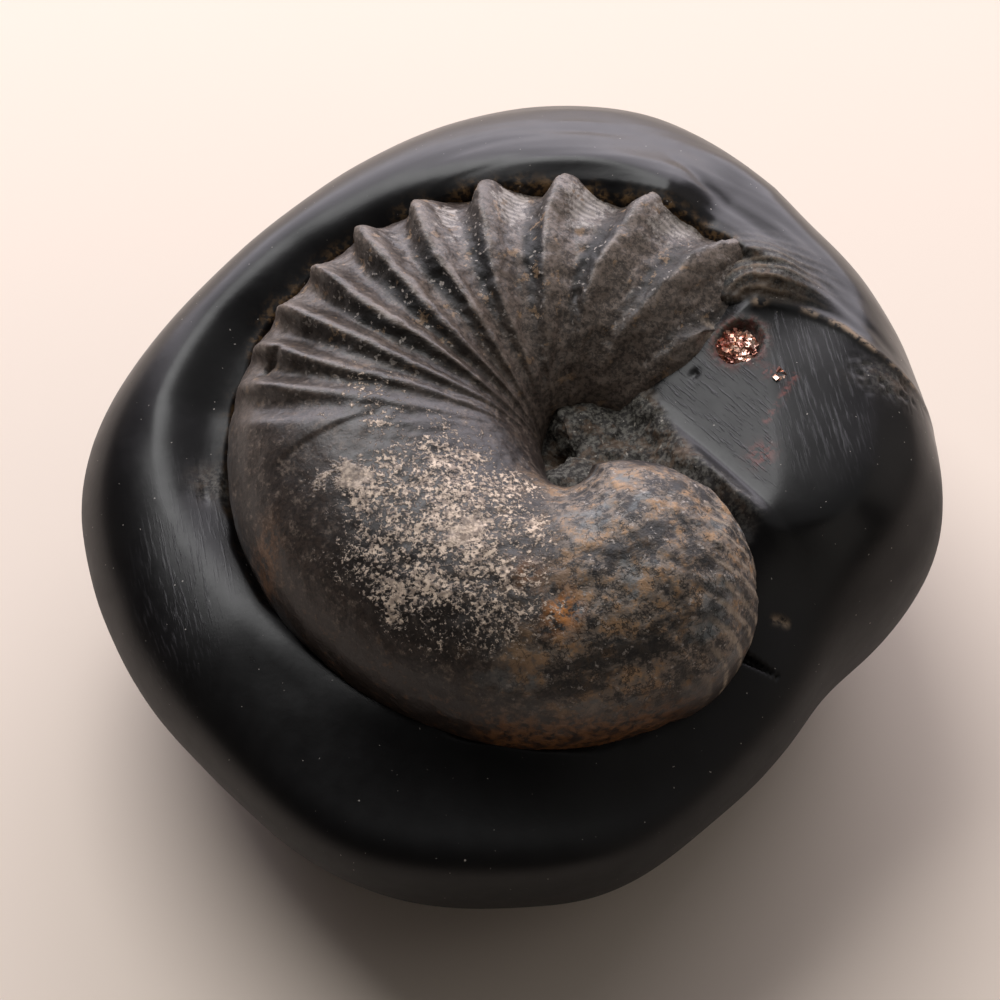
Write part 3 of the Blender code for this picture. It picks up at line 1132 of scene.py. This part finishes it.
@dataclass(frozen=True)
class Hollows:
    """The worn moat at the fossil's left and the narrow gap behind it, as curves round the coil."""

    moat_bearing: tuple = (110, 125, 140, 155, 170, 185, 200, 215, 235)
    moat_radius: tuple = (50, 52.5, 56, 59, 60.5, 58.5, 54.5, 51.5, 50)
    moat_depth: tuple = (0, 1.8, 3.8, 4.6, 4.6, 4.0, 3.0, 2.0, 0)
    moat_width: float = 13.0
    gap_bearing: tuple = (38, 44.6, 66.6, 82.6, 100.3, 115, 136, 145, 153.6,
                          163.6, 175, 196, 206, 214, 240, 270, 300)
    gap_radius: tuple = (38, 37, 35.6, 35.4, 38.2, 41.4, 44.6, 46.8, 48.4,
                         48.8, 48.4, 48.6, 48, 46.2, 44.8, 44, 41.5)
    gap_depth: tuple = (0, 1.5, 3, 3.5, 3.5, 3.5, 3.5, 3, 2.5, 2, 1.5, 1.2, 1.2, 1.0, 0.8, 0.5, 0)
    gap_wall: float = 1.6

    def depth(self, at: Places, wander: np.ndarray) -> tuple[np.ndarray, np.ndarray]:
        """How deep the moat and the gap are, and where the gap's brown wall shows.

        Args:
            at: the matrix's places.
            wander: noise that makes the gap's edge wander.

        Returns:
            The depth in millimetres, and the wall's mark.
        """
        inside = np.interp(at.bearing, self.moat_bearing, self.moat_radius) - at.radius
        moat = np.interp(at.bearing, self.moat_bearing, self.moat_depth, left=0, right=0) \
            * rise(inside, 0, self.moat_width)
        edge = np.interp(at.bearing, self.gap_bearing, self.gap_radius) + 0.9 * wander
        deep = np.interp(at.bearing, self.gap_bearing, self.gap_depth, left=0, right=0)
        gap = deep * fall(at.radius, edge + self.gap_wall / 2, self.gap_wall) * rise(at.radius, 24, 4)
        wall = rise(deep, 1, 2) * hump(at.radius - edge + 0.4, self.gap_wall) * rise(wander, -0.5, 0.4)
        return moat + gap, wall


@dataclass(frozen=True)
class MatrixWear:
    """The matrix's small relief: worn waves, the rim's ridges, pits, the socket, the crack and the chip."""

    groove: tuple = ((15, 42.5), (16.8, 41), (25, 33.5), (31.8, 26), (40, 17.8), (44, 13.5))
    groove_depth: float = 0.24
    ridge_height: float = 0.14
    ridges_from_radius: float = 38.0
    ground_middle: tuple = (5.0, 3.0)
    grit_height: float = 0.7
    socket: tuple = (23.0, 13.3)
    socket_radius: float = 3.5
    socket_depth: float = 1.6
    crack: tuple = ((20, -29.8), (23, -31.2), (27.6, -33.0))
    crack_depth: float = 1.6
    crack_half_width: float = 1.1
    chip: tuple = ((25.9, -26.1), (27.6, -26.0), (29.3, -26.6))
    chip_depth: float = 0.2
    nick: Spot = Spot(16.7, 9.6, 0.5, 0.7)
    nick_depth: float = 0.4
    rim_pits: Spot = Spot(44.0, 8.5, 4.16, 2.6)
    left_pits: Spot = Spot(-50.8, -2.5, 2.4, 2.4)
    pit_depth: float = 0.5
    red_streak: tuple = ((30.5, 7.5), (28.5, 4), (26.2, 0.5))
    red_spots: tuple = (Spot(25.4, -4.5, 1.6, 1.6), Spot(26.8, 8.2, 0.9, 0.9))
    brushed: Spot = Spot(-54.0, -17.0, 4.95, 12.1)

    def rim(self, at: Places, behind: np.ndarray) -> np.ndarray:
        """The back rim's fine ridges, drawn out along the rim, and the groove across them.

        Args:
            at: the matrix's places.
            behind: how far places are behind the crest's line.

        Returns:
            The lift along the normal, in millimetres.
        """
        back = rise(behind, 1, 3) * rise(at.bearing, 5, 10) * fall(at.bearing, 125, 20) * rise(at.z, 30, 8)
        drawn_out = np.stack([at.radius + at.z * 0.4, at.bearing * 0.10, at.z * 0.1], axis=-1)
        on_rim = at.radius > self.ridges_from_radius
        ridges = self.ridge_height * layered_noise(drawn_out, 2.2, 2, 7) * on_rim
        groove = self.groove_depth * hump(at.beside(self.groove)[0], 1.2) * rise(at.z, 48, 4)
        return (ridges - groove) * back

    def pits(self, at: Places, behind: np.ndarray, above: np.ndarray) -> tuple[np.ndarray, np.ndarray]:
        """The two pitted patches: small holes about a millimetre apart.

        Args:
            at: the matrix's places.
            behind: how far places are behind the crest's line.
            above: 1 on the stone's upper side.

        Returns:
            The lift along the normal, in millimetres, and how rough the patches are.
        """
        rim_pits = self.rim_pits.on(at) * fall(behind, -0.2, 1) * above
        left_pits = self.left_pits.on(at) * above
        holes = rise(layered_noise(at.points, 1.1, 2, 17), 0.1, 0.3)
        return -self.pit_depth * holes * np.clip(rim_pits + left_pits, 0, 1), 0.5 * rim_pits + 0.7 * left_pits

    def cracked(self, at: Places, above: np.ndarray) -> np.ndarray:
        """The crack: deepest at its middle, and narrower towards its far end.

        Args:
            at: the matrix's places.
            above: 1 on the stone's upper side.

        Returns:
            The lift along the normal, in millimetres.
        """
        gap, passed = at.beside(self.crack)
        half_width = self.crack_half_width * (1.15 - passed)
        return -self.crack_depth * fall(np.abs(gap), half_width, 0.5) * (passed < 1) * above

    def lift(self, points: np.ndarray, marks: dict[str, np.ndarray], crest: BlockCrest) -> np.ndarray:
        """All the small relief.

        Args:
            points: the matrix's points.
            marks: the marks so far; step and mound are used up, and those of the relief are added.
            crest: the block's crest, which bounds some of the marks.

        Returns:
            The lift along the normal, in millimetres.
        """
        at = Places(points)
        above, upper, high = rise(at.z, 30, 8), at.z > 30, at.z > 40
        behind = at.beside(crest.line)[0]
        waves = 0.3 * layered_noise(points, 16, 2, 3)

        ground = fall(at.away(*self.ground_middle), 17, 4) * fall(at.z, 51, 2) * rise(at.z, 30, 4)
        ground = np.maximum(ground, marks.pop("step"))
        grit = self.grit_height * layered_noise(points, 1.8, 3, 5) * ground
        mound = marks.pop("mound") * rise(behind, 0, 1.5)
        layers = mound * rise(np.sin((behind + 0.4 * waves) * 4.2), 0.3, 0.5)

        from_socket = at.away(*self.socket) + 0.5 * layered_noise(points, 1.6, 2, 29) - self.socket_radius
        socket = -self.socket_depth * fall(from_socket, 0, 0.9) * high
        ragged = hump(from_socket, 0.8)
        chip = at.line(self.chip, 0.45, 0.3) * upper
        pits, pitted = self.pits(at, behind, above)
        nick = -self.nick_depth * self.nick.on(at) * high

        marks["rough_ground"] = np.clip(ground + pitted + 0.9 * mound + 0.6 * ragged * high, 0, 1)
        front_right = fall(at.z, 51, 10) * rise(at.x, -10, 20) * fall(at.y, 5, 10)
        marks["flank"] = np.maximum(fall(at.z, 42, 12), front_right)
        marks["shell_line"] = np.clip(marks["shell_line"] + 0.7 * chip + 0.4 * layers, 0, 1)
        red = hump(at.beside(self.red_streak)[0], 0.35) + sum(spot.on(at) for spot in self.red_spots)
        marks["red_stain"] = np.clip(red + 0.5 * ragged, 0, 1) * upper
        marks["streaked"] = np.clip(marks["streaked"] + self.brushed.on(at) * above, 0, 1)
        small = grit + socket + self.cracked(at, above) - self.chip_depth * chip + pits + nick
        return waves + self.rim(at, behind) + small + 0.3 * layers


@dataclass(frozen=True)
class Nodule:
    """The black matrix: a river-worn cushion round the fossil, with a filed block at the right.

    Its rings run from the underside's middle out over the widest line and the rim, and in to the
    coil's middle. Each ring's radius and height are closed curves round the coil axis.
    """

    reach: tuple = (52.7, 52.7, 54, 55.5, 58.5, 62.5, 64.5, 64, 63, 62.5, 64.5, 68.8,
                    70.4, 68.5, 66, 64.5, 64.5, 61.5, 58.5, 53.6, 48.6, 45.7, 45.6, 50.4)
    widest_height: float = 31.0
    shoulder_inset: tuple = (2.9, 3.8, 4.8, 5.4, 4.5, 4.8, 8, 6.5, 6, 5.2, 3.4, 2.9)
    shoulder_height: tuple = (46, 49.7, 50.4, 50.4, 49, 46, 42.6, 41.2, 38.5, 38, 39.8, 43.5)
    crest_inset: tuple = (9, 12, 15, 17, 14, 14, 18, 16.5, 15, 13, 10, 9)
    crest_height: tuple = (52, 57, 58, 58, 56, 50.5, 45.2, 43.8, 41.6, 41.5, 43.5, 48.5)
    bowl_width: float = 10.0
    bowl_height: tuple = (56, 58, 57, 57, 53, 50, 46, 44, 43, 43, 46, 53)
    ground_share: float = 0.42
    ground_height: tuple = (54, 53, 48, 45, 44, 42, 42, 42, 40, 40, 42, 51)
    funnel_radius: float = 8.0
    funnel_height: float = 47.0
    funnel_depth: float = 1.0
    pole_radius: float = 0.5
    base_share: float = 0.40
    base_dip: float = 1.0
    flank_share: float = 0.83
    flank_height: float = 8.5
    upper_part: tuple = (33.0, 6.0)
    rows: tuple = ((0, 2, 14), (2, 4, 34), (4, 6, 70), (6, 9, 86))
    block: FiledBlock = FiledBlock()
    crest: BlockCrest = BlockCrest()
    hollows: Hollows = Hollows()
    wear: MatrixWear = MatrixWear()

    def bearings(self) -> np.ndarray:
        """Bearings of the profiles, close together by the block and the back rim.

        Returns:
            The bearings, in radians.
        """
        fine = np.arange(-65, 110, 0.56)
        coarse = np.linspace(110, 295, 155, endpoint=False)
        return np.radians(np.concatenate([fine, coarse]))

    def rings(self, bearings: np.ndarray) -> list[tuple[np.ndarray, np.ndarray]]:
        """The rings that the surface passes through.

        Args:
            bearings: where the rings' points are, in radians.

        Returns:
            Each ring's radius and height at the bearings, from the underside's middle to the coil's.
        """
        reach = closed_curve(self.reach, bearings)
        crest = reach - closed_curve(self.crest_inset, bearings)
        shoulder = reach - closed_curve(self.shoulder_inset, bearings)
        same = np.ones(len(bearings))
        return [
            (self.pole_radius * same, -self.base_dip * same),
            (self.base_share * reach, -self.base_dip * same),
            (self.flank_share * reach, self.flank_height * same),
            (reach, self.widest_height * same),
            (shoulder, closed_curve(self.shoulder_height, bearings)),
            (crest, closed_curve(self.crest_height, bearings)),
            (crest - self.bowl_width, closed_curve(self.bowl_height, bearings)),
            (self.ground_share * crest, closed_curve(self.ground_height, bearings)),
            (self.funnel_radius * same, (self.funnel_height + self.funnel_depth) * same),
            (self.pole_radius * same, self.funnel_height * same),
        ]

    def surface(self) -> np.ndarray:
        """The worn cushion: a spline through the rings, cut level where it dips below the floor.

        Returns:
            Rows of points, each row a closed ring.
        """
        bearings = self.bearings()
        rings = self.rings(bearings)
        rows = np.concatenate([np.linspace(first, last, count, endpoint=last == len(rings) - 1)
                               for first, last, count in self.rows])
        weights = spline_weights(range(len(rings)), rows)
        radius = weights @ np.array([ring[0] for ring in rings])
        height = np.maximum(weights @ np.array([ring[1] for ring in rings]), 0)
        return np.stack([radius * np.cos(bearings), radius * np.sin(bearings), height], axis=-1)

    def carve(self, points: np.ndarray) -> tuple[np.ndarray, dict[str, np.ndarray]]:
        """Large forms that are cut or raised straight up and down: the block, its crest and the hollows.

        Args:
            points: the matrix's points.

        Returns:
            The new heights, and the marks that go with them.
        """
        at = Places(points)
        wander = layered_noise(points, 5, 3, 61)
        top = rise(at.z, *self.upper_part)
        block = self.block
        step, step_ground = block.step(at, wander)
        gap, passed = at.beside(self.crest.line)
        behind, start = gap + 0.35 * wander, rise(passed, 0, 0.06)
        depth, wall = self.hollows.depth(at, wander)
        height = block.filed(at, at.z + block.swell_height * block.swell.on(at) * top)
        height = height + (self.crest.lift(at, behind, start) - block.step_depth * step - depth) * top

        on_left = rise(block.into(at), 0.5, 1.5) * fall(at.radius, 33, 4) * fall(at.x, 27.5, 1.5)
        on_right = rise(at.x, 26.5, 1.5) * fall(at.radius, 43, 6) * rise(at.y, -12, 14)
        marks = {
            "filed": on_left * fall(behind, -1, 1.5) * top,
            "streaked": on_right * fall(behind, -0.5, 1) * top,
            "brown_wall": wall,
            "shell_line": hump(behind, 0.4) * start * rise(height, 44, 5) * rise(wander, -0.3, 0.5),
            "step": step_ground * top,
            "mound": self.crest.mound.on(at) * top,
        }
        return height, marks

    def build(self) -> bpy.types.Object:
        """Makes the piece and dresses it.

        Returns:
            The piece.
        """
        points = self.surface()
        points[..., 2], marks = self.carve(points)
        lift = self.wear.lift(points, marks, self.crest) * rise(points[..., 2], 0, 4)
        points = points + surface_normals(points) * lift[..., None]
        return settle(grid_mesh("matrix", points, marks), WornLimestone().material())


@dataclass(frozen=True)
class Pyrite:
    """The pyrite: a nest of small cubes and broken grains in the block's socket, and one stray spot."""

    at: tuple = (23.2, 13.6, 53.0)
    spread: float = 3.3
    heap: float = 0.9
    count: int = 420
    stray: tuple = (28.4, 7.2, 55.0)
    stray_spread: tuple = (0.5, 0.5, 0.1)
    stray_count: int = 8
    half_side: tuple = (0.12, 0.4)
    seed: int = 12

    def middles(self, random: np.random.Generator) -> np.ndarray:
        """The grains' middles: even over a disc and heaped towards its middle, then the stray ones.

        Args:
            random: the seeded source of numbers.

        Returns:
            One place for each grain.
        """
        away = self.spread * np.sqrt(random.random(self.count))
        turn = random.random(self.count) * 2 * math.pi
        heap = self.heap * (1 - (away / self.spread) ** 2) + random.normal(0, 0.12, self.count)
        nest = np.stack([away * np.cos(turn), away * np.sin(turn), heap], axis=-1) + self.at
        strays = np.array(self.stray) + random.normal(0, self.stray_spread, (self.stray_count, 3))
        return np.concatenate([nest, strays])

    def build(self) -> bpy.types.Object:
        """Makes the piece: each grain is a cube, stretched and turned at random.

        Returns:
            The piece.
        """
        random = np.random.default_rng(self.seed)
        middles = self.middles(random)
        count = len(middles)
        sides = random.uniform(*self.half_side, (count, 1, 1)) * random.uniform(0.7, 1.3, (count, 1, 3))
        corner = np.array(list(np.ndindex(2, 2, 2))) * 2.0 - 1
        frames = np.linalg.qr(random.normal(size=(count, 3, 3)))[0]
        frames[np.linalg.det(frames) < 0, :, 0] *= -1
        points = np.einsum("gij,gpj->gpi", frames, corner * sides) + middles[:, None]
        faces = np.array([(0, 1, 3, 2), (4, 6, 7, 5), (0, 4, 5, 1), (2, 3, 7, 6), (0, 2, 6, 4), (1, 5, 7, 3)])
        all_faces = (faces + 8 * np.arange(count)[:, None, None]).reshape(-1, 4)
        piece = mesh_piece("pyrite", points.reshape(-1, 3), all_faces.tolist())
        return settle(piece, PyriteGrain().material())


# The studio

class Lamp(Enum):
    """The soft lamps: the way to each from the stone, width and height in metres, watts and colour."""

    MAIN = ((-0.27, 0.5, 0.82), 0.62, 0.42, 5.7, "#ffffff")
    BACK = ((0.0, 0.94, 0.34), 1.7, 0.9, 21.0, "#fbf5ff")
    SIDE = ((0.9, 0.2, 0.35), 0.5, 0.5, 0.4, "#fff6ee")
    FILL = ((0.42, 0.06, 0.9), 0.75, 0.9, 0.75, "#ffffff")
    FRONT = ((0.65, -0.53, 0.52), 0.55, 0.55, 0.5, "#fff6ee")


@dataclass(frozen=True)
class Studio:
    """A plain pale floor, soft lamps, and the camera at the photograph's angle.

    The camera's sizes are in millimetres, and the floor's and the lamps' are in metres.
    """

    elevation: float = 58.0
    distance: float = 450.0
    lens: float = 116.64
    sensor: float = 36.0
    aim: tuple = (-10.4, -6.55, 45.0)
    floor_half_size: float = 1.5
    floor_colour: str = "#e2d4c6"
    lamp_aim: tuple = (0.0, 0.0, 0.04)
    lamp_distance: float = 0.9
    world_colour: str = "#fff6ee"
    world_strength: float = 0.03

    def floor(self) -> None:
        """A plain pale floor that runs out of sight."""
        half = self.floor_half_size
        mesh = bpy.data.meshes.new("floor")
        corners = [(-half, -half, 0), (half, -half, 0), (half, half, 0), (-half, half, 0)]
        mesh.from_pydata(corners, [], [(0, 1, 2, 3)])
        made = Recipe("pale_matt_floor")
        made.shader.inputs["Base Color"].default_value = linear(self.floor_colour)
        made.shader.inputs["Roughness"].default_value = 0.9
        mesh.materials.append(made.material)
        floor = bpy.data.objects.new("floor", mesh)
        bpy.context.collection.objects.link(floor)

    def lamps(self) -> None:
        """Area lamps that face the stone, and a dim even world."""
        for lamp in Lamp:
            way, width, height, power, colour = lamp.value
            light = bpy.data.lights.new(lamp.name.lower(), 'AREA')
            light.shape = 'RECTANGLE'
            light.size = width
            light.size_y = height
            light.color = linear(colour)[:3]
            light.energy = power
            shown = bpy.data.objects.new(lamp.name.lower(), light)
            way = Vector(way).normalized()
            shown.location = Vector(self.lamp_aim) + way * self.lamp_distance
            shown.rotation_euler = way.to_track_quat('Z', 'Y').to_euler()
            bpy.context.collection.objects.link(shown)
        world = bpy.data.worlds.new("studio")
        world.use_nodes = True
        world.node_tree.nodes["Background"].inputs["Color"].default_value = linear(self.world_colour)
        world.node_tree.nodes["Background"].inputs["Strength"].default_value = self.world_strength
        bpy.context.scene.world = world

    def camera(self) -> None:
        """The camera, level across and looking down along +Y."""
        lens = bpy.data.cameras.new("camera")
        lens.lens = self.lens
        lens.sensor_width = self.sensor
        lens.clip_start = 0.01
        shown = bpy.data.objects.new("camera", lens)
        angle = math.radians(self.elevation)
        look = Vector((0, math.cos(angle), -math.sin(angle)))
        aim = Vector(self.aim) + Vector((*COIL_AXIS, 0.0))
        shown.location = (aim - look * self.distance) * METRES_PER_MM
        shown.rotation_euler = look.to_track_quat('-Z', 'Y').to_euler()
        bpy.context.collection.objects.link(shown)
        bpy.context.scene.camera = shown

    def build(self) -> None:
        """Sets the whole studio."""
        self.floor()
        self.lamps()
        self.camera()
        bpy.context.scene.view_settings.view_transform = 'Standard'


def main() -> None:
    """Makes the stone's pieces and the studio, and logs each piece's number of faces."""
    for maker in (Nodule(), Whorl(), Pyrite()):
        piece = maker.build()
        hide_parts(NODE)
        log.info("%s: %d faces", piece.name, len(piece.data.polygons))
    Studio().build()


if __name__ == "__main__":
    logging.basicConfig(level=logging.INFO)
    main()
